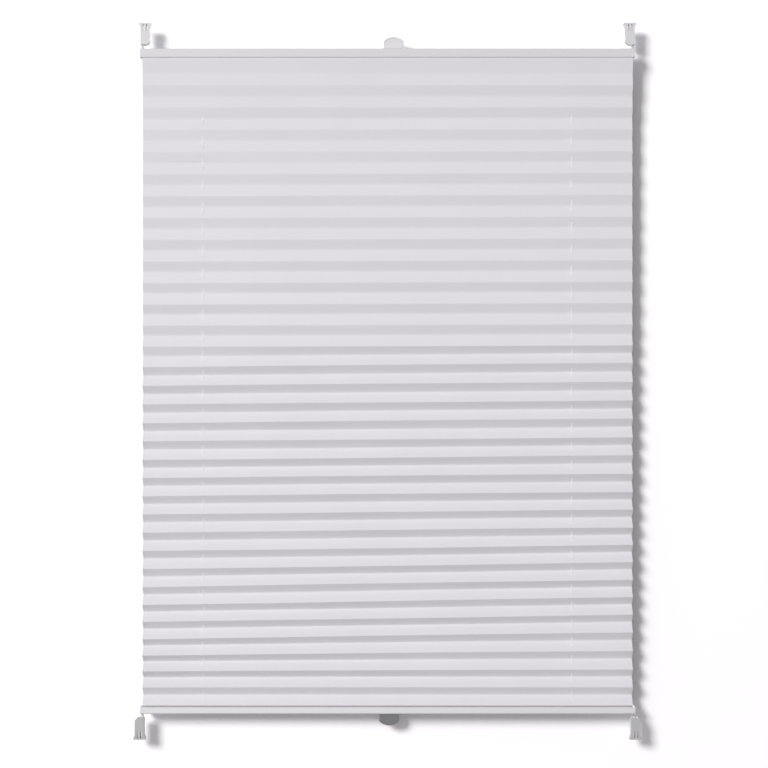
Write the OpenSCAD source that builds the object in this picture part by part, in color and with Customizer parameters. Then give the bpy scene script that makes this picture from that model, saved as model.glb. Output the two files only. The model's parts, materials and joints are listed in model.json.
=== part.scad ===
// Pleated window blind: a folded cloth between two sliding rails, hung on two taut cords
// that four tension shoes hold. The front faces -Y. The origin is midway between the screw
// holes of the upper shoes, on the plane of their feet.

/* [Fabric] */
// Width of the pleated fabric
fabric_w = 898; // [600:1:1400]
// Thickness of the fabric
fabric_t = 0.4; // [0.25:0.05:0.6]
// Flat height of one pleat face, from fold to fold
pleat_face = 20.8; // [20.6:0.1:26]
// Number of stretched pleats in the upper part
upper_pleats = 12; // [4:1:20]
// Height of the first stretched pleat, next to the top rail
upper_pitch_first = 40.7; // [32:0.1:41]
// Height of the last stretched pleat
upper_pitch_last = 39.3; // [32:0.1:41]
// Number of gathered pleats in the lower part
lower_pleats = 20; // [6:1:36]
// Height of the first gathered pleat
lower_pitch_first = 34.5; // [26:0.1:39]
// Height of the last gathered pleat, next to the bottom rail
lower_pitch_last = 31.1; // [22:0.1:39]
// Drop from the top rail to the first rear fold
first_drop = 28.8; // [24:0.1:36]
// Rise of the last front fold over the bottom rail
last_rise = 3; // [2:0.1:6]
// Depth of the end tabs that are glued to the fabric strips
tab_depth = 9; // [6:0.1:10]
// Glue line between an end tab and its strip
glue_t = 0.1; // [0.05:0.05:0.2]

/* [Rails] */
// Depth of a rail, front to back
rail_depth = 21; // [19:0.5:28]
// Height of the top rail
top_rail_h = 16.5; // [12:0.5:24]
// Height of the bottom rail
bottom_rail_h = 12.5; // [12:0.5:24]
// Wall of the rails
rail_wall = 1.3; // [1:0.1:1.6]
// Radius of a rail's outer edges
rail_edge_r = 2.2; // [1:0.1:3]
// Radius of a rail's edges on the fabric side
lip_edge_r = 1.8; // [0.5:0.1:2]
// Width of the slot between a rail's lips
lip_slot_w = 12; // [10:0.5:14]
// Thickness of the ribs that keep the fabric strip down
rib_t = 0.8; // [0.6:0.1:1.2]
// Reach of those ribs into the rail
rib_reach = 1.2; // [0.8:0.1:1.8]
// Distance of the handle groove behind the middle of the rail
groove_y = 4; // [2:0.1:4.5]
// Width of the handle groove's mouth
groove_mouth = 3.4; // [3:0.1:4]
// Width of the handle groove inside
groove_w = 7; // [6:0.1:7.5]
// Height of the handle groove inside
groove_h = 1.9; // [1.6:0.1:2.4]
// Wall around the handle groove
groove_wall = 0.9; // [0.7:0.1:1.2]
// Thickness of a fabric strip's flange
strip_t = 1.4; // [1:0.1:1.8]
// Width of a fabric strip's flange
strip_w = 16.4; // [15:0.1:17]

/* [End caps] */
// Length of an end cap outside its rail
cap_l = 7; // [6:0.1:10]
// Reach of an end cap past the edge of the fabric
cap_reach = 4; // [3.5:0.1:8]
// Length of the pegs that plug a cap into its rail
peg_l = 12; // [6:0.5:20]
// Width of a peg
peg_w = 3.6; // [2.5:0.1:4]
// Height of the cord spout on a cap
spout_h = 6; // [2:0.1:7]
// Outer diameter of the cord spout
spout_d = 4.6; // [4:0.1:5.5]

/* [Cords] */
// Diameter of a tension cord
cord_d = 1.2; // [0.8:0.1:1.3]
// Distance of a cord from the outer end of its end cap
cord_inset = 3.5; // [3:0.1:4]
// Offset of a cord from the middle plane at its end cap
cord_lane = 2.5; // [2.3:0.1:3]
// Distance of the punched cord holes from the fabric's edge
hole_inset = 111; // [60:1:180]
// Bend radius of a cord at caps and guides
bend_r = 2; // [1.8:0.1:2.2]
// Diameter of the cord bores in caps and guides
cord_bore = 2.4; // [2.2:0.1:2.6]
// Width of the cord holes in the fabric
punch_w = 1.6; // [1.6:0.1:3]
// Length of a cord guide
guide_l = 14; // [10:0.5:20]
// Outer diameter of a guide's spigot
spigot_d = 4.8; // [4.2:0.1:6]
// Height of the cord over the floor of its guide
cord_rise = 2; // [1.8:0.1:2.2]

/* [Tension shoes] */
// Distance from a shoe's end to its rail
shoe_gap = 8; // [6:0.5:20]
// Height of a shoe, foot included
shoe_h = 40; // [36:0.5:50]
// Width of a shoe's body
shoe_w = 17; // [16:0.1:20]
// Depth of a shoe
shoe_d = 12; // [11:0.1:16]
// Width of the foot
foot_w = 22; // [20:0.5:30]
// Thickness of the foot
foot_t = 3; // [2:0.1:4]
// Height of the gussets between foot and body
gusset_h = 6; // [4:0.1:9]
// Width of each window beside the middle rib
window_w = 2.4; // [2:0.1:2.8]
// Height of the windows
window_h = 12; // [8:0.1:16]
// Width of the middle rib
web_w = 3.3; // [2.8:0.1:4]
// Chamfer of the end corner away from the cord
shoe_chamfer = 5; // [2:0.1:5]
// Diameter of the screw hole in the foot
screw_hole = 3.4; // [3:0.1:4]
// Diameter of the screwdriver channel
driver_d = 6; // [5:0.1:6.4]
// Distance of the cord from the middle of the shoe
cord_offset = 5.3; // [5.1:0.1:5.5]
// Diameter of the spring chamber
chamber_d = 3.8; // [3.6:0.1:4]
// Depth of the spring chamber, from the foot
chamber_h = 26; // [22:0.1:30]
// Diameter of a cord stop
stop_d = 3.2; // [2.8:0.1:3.4]
// Length of a cord stop
stop_l = 4; // [2.5:0.1:5]
// Length of a tension spring
spring_l = 10; // [7:0.1:12]
// Wire diameter of a tension spring
wire_d = 0.45; // [0.3:0.05:0.5]
// Number of turns of a tension spring
spring_turns = 7; // [4:1:10]

/* [Handles] */
// Width of a handle
handle_w = 37; // [25:0.5:60]
// Height of a handle over its rail
handle_h = 23.5; // [14:0.5:28]
// Rise of the handle's curved edge over its straight sides
handle_crown = 8; // [4:0.5:12]
// Thickness of a handle's plate
handle_t = 2.6; // [2:0.1:2.8]
// Thickness of the bead along the curved edge
bead_t = 4.2; // [3:0.1:6]
// Width of that bead
bead_w = 2.2; // [1.5:0.1:4]
// Place of the top handle along its rail
top_handle_x = 11; // [-200:1:200]
// Place of the bottom handle along its rail
bottom_handle_x = 3; // [-200:1:200]

/* [Hidden] */
$fn = 64;

fit = 0.15; // running clearance between moulded and extruded pieces
eps = 0.01; // overshoot of a cut past a face
past = 1; // reach of a through cut past the faces that it opens
cloth = "#dfdce1";
coating = "#dbd9dd";
plastic = "#e0dfe2";
steel = "#b9bcc0";
cord_white = "#f0eff2";

// Widths along X
cap_end_x = fabric_w / 2 + cap_reach;
rail_l = 2 * (cap_end_x - cap_l);
cord_x = cap_end_x - cord_inset;
hole_x = fabric_w / 2 - hole_inset;

// Heights inside a rail, from the outer face of its lips
strip_top = rail_wall + strip_t;
rib_top = strip_top + fit + rib_t;
cord_v = rib_top + cord_rise;
inner_y = rail_depth / 2 - rail_wall;
groove_front = groove_y - groove_w / 2 - groove_wall;
function groove_floor(h) = h - rail_wall - groove_h - groove_wall;

// Levels along Z
top_lip_z = -(shoe_h + shoe_gap + top_rail_h);
first_front_z = top_lip_z - first_drop - upper_pitch_first / 2;
fold_count = upper_pleats + lower_pleats + 1;
function between(first, last, i, count) = first + (last - first) * i / (count - 1);
function pitch(i) = i < upper_pleats
    ? between(upper_pitch_first, upper_pitch_last, i, upper_pleats)
    : between(lower_pitch_first, lower_pitch_last, i - upper_pleats, lower_pleats);
function fold_z(i) = i == 0 ? first_front_z : fold_z(i - 1) - pitch(i - 1);
bottom_lip_z = fold_z(fold_count - 1) - last_rise;
foot_z = bottom_lip_z - bottom_rail_h - shoe_gap - shoe_h;

function unit(v) = v / norm(v);
function reversed(list) = [for (i = [len(list) - 1:-1:0]) list[i]];

// Cloth section, drawn as [y, z]

// Depth of a pleat from its height, as its faces keep their length
function pleat_depth(i) = sqrt(pow(pleat_face, 2) - pow(pitch(i) / 2, 2));
function last_pleat(i) = min(i, fold_count - 2);
function front_fold(i) =
    [-(pleat_depth(max(i - 1, 0)) + pleat_depth(last_pleat(i))) / 4, fold_z(i)];
function rear_fold(i) = [pleat_depth(i) / 2, fold_z(i) - pitch(i) / 2];
tab_y = glue_t + fabric_t / 2;
fabric_line = concat(
    [[tab_depth / 2, top_lip_z - tab_y], [-tab_depth / 2, top_lip_z - tab_y]],
    [[pleat_depth(0) / 2, top_lip_z - first_drop]],
    [for (i = [0:fold_count - 2]) each [front_fold(i), rear_fold(i)]],
    [front_fold(fold_count - 1)],
    [[-tab_depth / 3, bottom_lip_z + tab_y], [tab_depth / 2, bottom_lip_z + tab_y]]
);

function side_of(a, b) = let (d = unit(b - a)) [-d[1], d[0]];
// The line moved sideways, with mitred corners
function moved_line(line, by) = let (last = len(line) - 1) [
    for (i = [0:last])
        let (
            before = side_of(line[max(i - 1, 0)], line[max(i, 1)]),
            after = side_of(line[min(i, last - 1)], line[min(i + 1, last)])
        )
        line[i] + by * (before + after) / (1 + before * after)
];

module pleated_fabric() {
    outline = concat(moved_line(fabric_line, fabric_t / 2),
        reversed(moved_line(fabric_line, -fabric_t / 2)));
    color(cloth)
        difference() {
            along_x(fabric_w) polygon(outline);
            for (side = [-1, 1])
                translate([side * hole_x, 0, bottom_lip_z - past])
                    cylinder(h = top_lip_z - bottom_lip_z + 2 * past, d = punch_w);
        }
}

// Placing

// A section drawn in [y, z], drawn out along X and centred
module along_x(length) {
    rotate([90, 0, 90]) linear_extrude(length, center = true) children();
}

// A rail's pieces are drawn with the lips at z = 0 and the outer face upwards
module at_top() {
    translate([0, 0, top_lip_z]) children();
}

module at_bottom() {
    translate([0, 0, bottom_lip_z]) mirror([0, 0, 1]) children();
}

// A shoe's pieces are drawn with the foot's face at z = 0, the body below and the cord
// at +X. One moulding serves all four corners, turned about.
module at_corner(side, upper) {
    turn = upper ? [0, 0, side > 0 ? 0 : 180] : side > 0 ? [0, 180, 0] : [180, 0, 0];
    x = cord_x + (upper ? -cord_offset : cord_offset);
    translate([side * x, 0, upper ? 0 : foot_z]) rotate(turn) children();
}

// Tension shoes

module shoe_outline() {
    polygon([
        [-foot_w / 2, 0], [foot_w / 2, 0], [foot_w / 2, -foot_t],
        [shoe_w / 2, -foot_t - gusset_h], [shoe_w / 2, -shoe_h],
        [-shoe_w / 2 + shoe_chamfer, -shoe_h], [-shoe_w / 2, -shoe_h + shoe_chamfer],
        [-shoe_w / 2, -foot_t - gusset_h], [-foot_w / 2, -foot_t]
    ]);
}

module shoe_windows() {
    for (side = [-1, 1])
        translate([side * (web_w + window_w) / 2, -foot_t - window_h / 2])
            square([window_w, window_h], center = true);
}

module shoe() {
    color(plastic)
        difference() {
            rotate([90, 0, 0])
                linear_extrude(shoe_d, center = true)
                    difference() {
                        shoe_outline();
                        shoe_windows();
                    }
            translate([0, 0, -foot_t - eps]) cylinder(h = foot_t + 2 * eps, d = screw_hole);
            translate([0, 0, -shoe_h - eps]) cylinder(h = shoe_h - foot_t + eps, d = driver_d);
            on_cord_line() {
                translate([0, 0, -chamber_h]) cylinder(h = chamber_h + eps, d = chamber_d);
                translate([0, 0, -shoe_h - eps]) cylinder(h = shoe_h, d = punch_w);
            }
        }
}

module on_cord_line() {
    translate([cord_offset, cord_lane, 0]) children();
}

// A crimped sleeve on the cord's end; its foot is at the given depth in the shoe
module cord_stop(depth) {
    nose = stop_d / 6;
    color(steel)
        on_cord_line()
            translate([0, 0, -depth])
                difference() {
                    rotate_extrude()
                        polygon([
                            [0, 0], [stop_d / 2, 0], [stop_d / 2, stop_l - nose],
                            [stop_d / 2 - nose, stop_l], [0, stop_l]
                        ]);
                    translate([0, 0, -eps]) cylinder(h = stop_l + 2 * eps, d = cord_d + fit);
                }
}

spring_steps = 12; // straight pieces in one turn of the spring
module tension_spring() {
    radius = (chamber_d - 2 * fit - wire_d) / 2;
    rise = spring_l - wire_d;
    count = spring_turns * spring_steps;
    coil = [
        for (i = [0:count])
            let (a = 360 * i / spring_steps)
            [radius * cos(a), radius * sin(a), wire_d / 2 + rise * i / count]
    ];
    color(steel)
        on_cord_line() translate([0, 0, -chamber_h]) swept(coil, wire_d / 2, 6, [0, 0, 1]);
}

upper_stop_depth = chamber_h;
lower_stop_depth = chamber_h - spring_l;

module upper_left_shoe() { at_corner(-1, true) shoe(); }
module upper_right_shoe() { at_corner(1, true) shoe(); }
module lower_left_shoe() { at_corner(-1, false) shoe(); }
module lower_right_shoe() { at_corner(1, false) shoe(); }
module upper_left_cord_stop() { at_corner(-1, true) cord_stop(upper_stop_depth); }
module upper_right_cord_stop() { at_corner(1, true) cord_stop(upper_stop_depth); }
module lower_left_cord_stop() { at_corner(-1, false) cord_stop(lower_stop_depth); }
module lower_right_cord_stop() { at_corner(1, false) cord_stop(lower_stop_depth); }
module lower_left_tension_spring() { at_corner(-1, false) tension_spring(); }
module lower_right_tension_spring() { at_corner(1, false) tension_spring(); }

// Cords

// Ring of n points around p, square to the direction t
function ring(p, t, r, n, up) = let (u = unit(up - (up * t) * t), w = cross(t, u))
    [for (k = [0:n - 1]) p + r * (cos(360 * k / n) * u + sin(360 * k / n) * w)];
function heading(path, i) = let (last = len(path) - 1)
    unit(unit(path[max(i, 1)] - path[max(i, 1) - 1])
        + unit(path[min(i, last - 1) + 1] - path[min(i, last - 1)]));

// Round bar of n sides along a path; no stretch of it runs along the direction up
module swept(path, r, n, up) {
    last = len(path) - 1;
    points = [for (i = [0:last]) each ring(path[i], heading(path, i), r, n, up)];
    sides = [
        for (i = [0:last - 1], k = [0:n - 1])
            let (a = i * n + k, b = i * n + (k + 1) % n)
            each [[a, a + n, b + n], [a, b + n, b]]
    ];
    ends = [[for (k = [0:n - 1]) k], [for (k = [n - 1:-1:0]) last * n + k]];
    polyhedron(points = points, faces = concat(sides, ends));
}

bend_steps = 4; // straight pieces in one quarter bend of a cord
cord_tail = 0.8; // end of a cord that stands out of its stop
// Quarter bend about c in the XZ plane, from one angle to another
function bend(c, from, to) = [
    for (i = [0:bend_steps])
        let (a = from + (to - from) * i / bend_steps)
        c + bend_r * [cos(a), 0, sin(a)]
];

// The cord from the left shoes; it runs across each rail to the guide on the right
cord_top_z = top_lip_z + cord_v;
cord_bottom_z = bottom_lip_z - cord_v;
left_route = concat(
    [[-cord_x, -cord_lane, -upper_stop_depth + stop_l + cord_tail]],
    bend([-cord_x + bend_r, -cord_lane, cord_top_z + bend_r], 180, 270),
    bend([hole_x - bend_r, 0, cord_top_z - bend_r], 90, 0),
    bend([hole_x - bend_r, 0, cord_bottom_z + bend_r], 0, -90),
    bend([-cord_x + bend_r, -cord_lane, cord_bottom_z - bend_r], 90, 180),
    [[-cord_x, -cord_lane, foot_z + lower_stop_depth - stop_l - cord_tail]]
);

module left_cord() {
    color(cord_white) swept(left_route, cord_d / 2, 8, [0, 1, 0]);
}

module right_cord() {
    rotate([0, 0, 180]) left_cord();
}

// Rails

// Rounded block section of a rail, with larger radii on the outer edges
module rail_block(h) {
    half = rail_depth / 2;
    for (side = [-1, 1]) {
        translate([side * (half - rail_edge_r), h - rail_edge_r]) circle(rail_edge_r);
        translate([side * (half - lip_edge_r), lip_edge_r]) circle(lip_edge_r);
    }
    translate([-half, lip_edge_r]) square([rail_depth, h - lip_edge_r - rail_edge_r]);
    translate([-half + lip_edge_r, 0]) square([rail_depth - 2 * lip_edge_r, h / 2]);
    translate([-half + rail_edge_r, h / 2]) square([rail_depth - 2 * rail_edge_r, h / 2]);
}

module rail_section(h) {
    difference() {
        rail_block(h);
        difference() {
            translate([-inner_y, rail_wall]) square([2 * inner_y, h - 2 * rail_wall]);
            groove_box(h);
            for (side = [-1, 1])
                translate([side * inner_y, rib_top - rib_t / 2])
                    square([2 * rib_reach, rib_t], center = true);
        }
        translate([-lip_slot_w / 2, -eps]) square([lip_slot_w, rail_wall + 2 * eps]);
        translate([groove_y - groove_w / 2, groove_floor(h) + groove_wall]) square([groove_w, groove_h]);
        translate([groove_y - groove_mouth / 2, h - rail_wall - eps])
            square([groove_mouth, rail_wall + 2 * eps]);
    }
}

// Walls of the handle groove inside the rail, joined to its outer wall
module groove_box(h) {
    translate([groove_front, groove_floor(h)])
        square([groove_w + 2 * groove_wall, groove_h + groove_wall + rail_wall]);
}

module rail(h) {
    color(coating) along_x(rail_l) rail_section(h);
}

// T-section strip that carries the fabric's end tab, flush with the rail's lips
module fabric_strip() {
    stem_w = lip_slot_w - 2 * fit;
    color(plastic)
        difference() {
            along_x(rail_l)
                union() {
                    translate([-strip_w / 2, rail_wall]) square([strip_w, strip_t]);
                    translate([-stem_w / 2, 0]) square([stem_w, rail_wall + eps]);
                }
            for (side = [-1, 1])
                translate([side * hole_x, 0, -eps])
                    cylinder(h = strip_top + 2 * eps, d = spigot_d + 2 * fit);
        }
}

// End cap for one side, with its cord bore and two pegs
module end_cap(side, h) {
    color(plastic)
        mirror([side > 0 ? 0 : 1, 0, 0])
            difference() {
                union() {
                    translate([rail_l / 2 + cap_l / 2, 0, 0]) along_x(cap_l) rail_block(h);
                    translate([cord_x, side * cord_lane, h - eps]) cylinder(h = spout_h + eps, d = spout_d);
                    cap_peg(-inner_y + fit, h - rail_wall - fit);
                    cap_peg(inner_y - fit - peg_w, groove_floor(h) - fit);
                }
                translate([cord_x, side * cord_lane, cord_v]) {
                    cylinder(h = h + spout_h, d = cord_bore);
                    sphere(d = cord_bore);
                    rotate([0, -90, 0]) cylinder(h = cap_l, d = cord_bore);
                }
            }
}

module cap_peg(y, top) {
    foot = rib_top + fit;
    translate([rail_l / 2 - peg_l, y, foot]) cube([peg_l + eps, peg_w, top - foot]);
}

// Cord guide on one side: a saddle for the cord that turns down here and a slot for the
// cord that passes by
module cord_guide(side, h) {
    slot_w = cord_d + 4 * fit;
    slot_floor = cord_v - cord_d / 2 - fit - slot_w / 4;
    top = groove_floor(h) - fit;
    pass_y = cord_lane * (1 - (cord_x - hole_x) / (cord_x + hole_x));
    block_w = 2 * (inner_y - fit);
    color(plastic)
        rotate([0, 0, side > 0 ? 0 : 180])
            translate([hole_x, 0, 0])
                difference() {
                    union() {
                        translate([-guide_l / 2, -block_w / 2, rib_top])
                            cube([guide_l, block_w, top - rib_top]);
                        translate([0, 0, fit]) cylinder(h = rib_top, d = spigot_d);
                    }
                    translate([0, 0, -eps]) cylinder(h = top + past, d = cord_bore);
                    translate([-guide_l, -slot_w / 2, slot_floor]) cube([guide_l, slot_w, top]);
                    translate([-guide_l, pass_y - slot_w / 2, slot_floor]) cube([2 * guide_l, slot_w, top]);
                }
}

// Handle: a thin plate with a curved, beaded edge on a T-foot that slides in the groove
module handle(x, h) {
    side_h = handle_h - handle_crown;
    crown_r = (pow(handle_w / 2, 2) + pow(handle_crown, 2)) / (2 * handle_crown);
    neck_h = rail_wall + fit;
    tee_w = groove_w - 2 * fit;
    tee_h = groove_h - 2 * fit;
    color(plastic)
        translate([x, groove_y, h])
            rotate([90, 0, 0]) {
                linear_extrude(handle_t, center = true)
                    union() {
                        handle_plate(crown_r);
                        translate([-handle_w / 2, -neck_h]) square([handle_w, neck_h + eps]);
                    }
                linear_extrude(bead_t, center = true)
                    difference() {
                        handle_plate(crown_r);
                        translate([0, handle_h - crown_r]) circle(crown_r - bead_w);
                        translate([-handle_w, -past]) square([2 * handle_w, side_h + past]);
                    }
                translate([0, -neck_h - tee_h / 2, 0]) cube([handle_w, tee_h + eps, tee_w], center = true);
            }
}

module handle_plate(crown_r) {
    intersection() {
        translate([-handle_w / 2, 0]) square([handle_w, handle_h]);
        translate([0, handle_h - crown_r]) circle(crown_r, $fn = 128);
    }
}

module top_rail() { at_top() rail(top_rail_h); }
module top_left_end_cap() { at_top() end_cap(-1, top_rail_h); }
module top_right_end_cap() { at_top() end_cap(1, top_rail_h); }
module top_left_cord_guide() { at_top() cord_guide(-1, top_rail_h); }
module top_right_cord_guide() { at_top() cord_guide(1, top_rail_h); }
module top_fabric_strip() { at_top() fabric_strip(); }
module top_handle() { at_top() handle(top_handle_x, top_rail_h); }
module bottom_rail() { at_bottom() rail(bottom_rail_h); }
module bottom_left_end_cap() { at_bottom() end_cap(-1, bottom_rail_h); }
module bottom_right_end_cap() { at_bottom() end_cap(1, bottom_rail_h); }
module bottom_left_cord_guide() { at_bottom() cord_guide(-1, bottom_rail_h); }
module bottom_right_cord_guide() { at_bottom() cord_guide(1, bottom_rail_h); }
module bottom_fabric_strip() { at_bottom() fabric_strip(); }
module bottom_handle() { at_bottom() handle(bottom_handle_x, bottom_rail_h); }

upper_left_shoe();
upper_right_shoe();
lower_left_shoe();
lower_right_shoe();
upper_left_cord_stop();
upper_right_cord_stop();
lower_left_cord_stop();
lower_right_cord_stop();
lower_left_tension_spring();
lower_right_tension_spring();
left_cord();
right_cord();
pleated_fabric();
top_rail();
top_left_end_cap();
top_right_end_cap();
top_left_cord_guide();
top_right_cord_guide();
top_fabric_strip();
top_handle();
bottom_rail();
bottom_left_end_cap();
bottom_right_end_cap();
bottom_left_cord_guide();
bottom_right_cord_guide();
bottom_fabric_strip();
bottom_handle();
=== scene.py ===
"""Dresses the pleated blind: folded cloth, coated rails, mouldings, cords and a plain studio."""
import json
import logging
from abc import ABC, abstractmethod
from dataclasses import dataclass, field
from enum import Enum
from math import cos, pi, radians, sin, sqrt
from typing import Sequence, Union

import bmesh
import bpy
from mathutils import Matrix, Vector


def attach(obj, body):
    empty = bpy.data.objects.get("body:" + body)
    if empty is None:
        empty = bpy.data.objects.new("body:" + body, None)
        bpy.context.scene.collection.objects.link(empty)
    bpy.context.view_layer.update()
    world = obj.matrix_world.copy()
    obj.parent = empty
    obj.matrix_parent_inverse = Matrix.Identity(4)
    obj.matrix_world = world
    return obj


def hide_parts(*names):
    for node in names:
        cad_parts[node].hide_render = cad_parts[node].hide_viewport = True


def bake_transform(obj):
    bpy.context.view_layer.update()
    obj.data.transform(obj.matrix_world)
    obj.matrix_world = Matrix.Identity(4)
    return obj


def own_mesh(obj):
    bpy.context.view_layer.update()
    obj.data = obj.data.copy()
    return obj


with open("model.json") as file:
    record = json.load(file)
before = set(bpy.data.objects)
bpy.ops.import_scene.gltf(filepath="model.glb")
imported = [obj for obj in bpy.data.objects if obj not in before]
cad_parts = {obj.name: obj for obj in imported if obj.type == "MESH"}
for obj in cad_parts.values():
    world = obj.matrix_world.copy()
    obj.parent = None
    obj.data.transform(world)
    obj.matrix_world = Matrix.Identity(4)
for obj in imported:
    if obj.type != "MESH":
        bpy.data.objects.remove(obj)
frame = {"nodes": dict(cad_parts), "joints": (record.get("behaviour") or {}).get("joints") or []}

LOG = logging.getLogger("pleated_blind")
HANDS = ("left", "right")
Colour = tuple[float, float, float]
Point = tuple[float, float, float]
Feed = Union[bpy.types.NodeSocket, float, int, tuple]


class Body(Enum):
    """The bodies that pieces ride on."""

    FIXED = "shoes_and_cloth"
    TOP = "top_rail_set"
    BOTTOM = "bottom_rail_set"


class Slide(Enum):
    """The rails' slide joints, whose travel sets how much of the cloth and the cords is kept."""

    TOP = "top_rail_slide"
    BOTTOM = "bottom_rail_slide"

    def keep(self, end: float, anchor: float) -> float:
        """Gives the share of its height that a piece keeps when the rail has gone all the way.

        Args:
            end: Level of the piece's end at the rail.
            anchor: Level that it gathers towards.

        Returns:
            The share, above 0 and at most 1.
        """
        joint = next(joint for joint in frame["joints"] if joint["name"] == self.value)
        return 1.0 - max(abs(limit) for limit in joint["range_m"]) / abs(end - anchor)


class Slot(Enum):
    """The material slots of the part."""

    CLOTH = "pleated_cloth"
    COATING = "rail_coating"
    RAIL_PLASTIC = "rail_plastic"
    SHOE_PLASTIC = "shoe_plastic"
    CORD = "cord"
    STEEL = "steel"


class Row(Enum):
    """What a row of the cloth's faces meets: no cord hole, a hole's rim or its full width."""

    WHOLE = "whole"
    RIM = "rim"
    HOLE = "hole"


@dataclass
class NodeWires:
    """A node tree with short ways to add and join its nodes."""

    tree: bpy.types.NodeTree

    def add(self, kind: str, **settings: object) -> bpy.types.Node:
        """Adds a node and sets its properties.

        Args:
            kind: The node's type name.
            **settings: Properties of the node.

        Returns:
            The new node.
        """
        node = self.tree.nodes.new(kind)
        for name, value in settings.items():
            setattr(node, name, value)
        return node

    def feed(self, socket: bpy.types.NodeSocket, value: Feed) -> None:
        """Joins a socket to another one, or sets its own value.

        Args:
            socket: The input to feed.
            value: An output, or a plain value.
        """
        if isinstance(value, bpy.types.NodeSocket):
            self.tree.links.new(value, socket)
        else:
            socket.default_value = value

    def where(self, kind: str) -> bpy.types.NodeSocket:
        """Adds texture coordinates of one kind."""
        return self.add("ShaderNodeTexCoord").outputs[kind]

    def math(self, operation: str, *values: Feed) -> bpy.types.NodeSocket:
        """Adds a Math node.

        Args:
            operation: What the node does.
            *values: Outputs or plain values for its inputs.

        Returns:
            The node's result.
        """
        node = self.add("ShaderNodeMath", operation=operation)
        for socket, value in zip(node.inputs, values):
            self.feed(socket, value)
        return node.outputs[0]

    def mapped(self, value: Feed, source: tuple[float, float], result: tuple[float, float]
               ) -> bpy.types.NodeSocket:
        """Maps a value from one range to another.

        Args:
            value: The value to map.
            source: Start and end of the range it comes from.
            result: What it becomes at the start and at the end.

        Returns:
            The mapped value, kept inside the new range.
        """
        node = self.add("ShaderNodeMapRange")
        for name, number in zip(("Value", "From Min", "From Max", "To Min", "To Max"),
                                (value, *source, *result)):
            self.feed(node.inputs[name], number)
        return node.outputs["Result"]

    def effect(self, group: bpy.types.NodeTree, **values: Feed) -> bpy.types.Node:
        """Places a node group and feeds its inputs.

        Args:
            group: The effect's node group.
            **values: Input values by name.

        Returns:
            The group's node.
        """
        node = self.add("ShaderNodeGroup", node_tree=group)
        for name, value in values.items():
            self.feed(node.inputs[name], value)
        return node


def new_group(name: str, inputs: Sequence[tuple], outputs: Sequence[tuple]
              ) -> tuple[NodeWires, bpy.types.Node, bpy.types.Node]:
    """Starts a shader node group with named sockets.

    Args:
        name: Name of the group.
        inputs: (name, socket type, start value) of each input.
        outputs: (name, socket type) of each output.

    Returns:
        The wires, the group's input node and its output node.
    """
    tree = bpy.data.node_groups.new(name, "ShaderNodeTree")
    for label, kind, start in inputs:
        socket = tree.interface.new_socket(label, in_out="INPUT", socket_type=kind)
        if start is not None:
            socket.default_value = start
    for label, kind in outputs:
        tree.interface.new_socket(label, in_out="OUTPUT", socket_type=kind)
    wires = NodeWires(tree)
    return wires, wires.add("NodeGroupInput"), wires.add("NodeGroupOutput")


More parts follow.
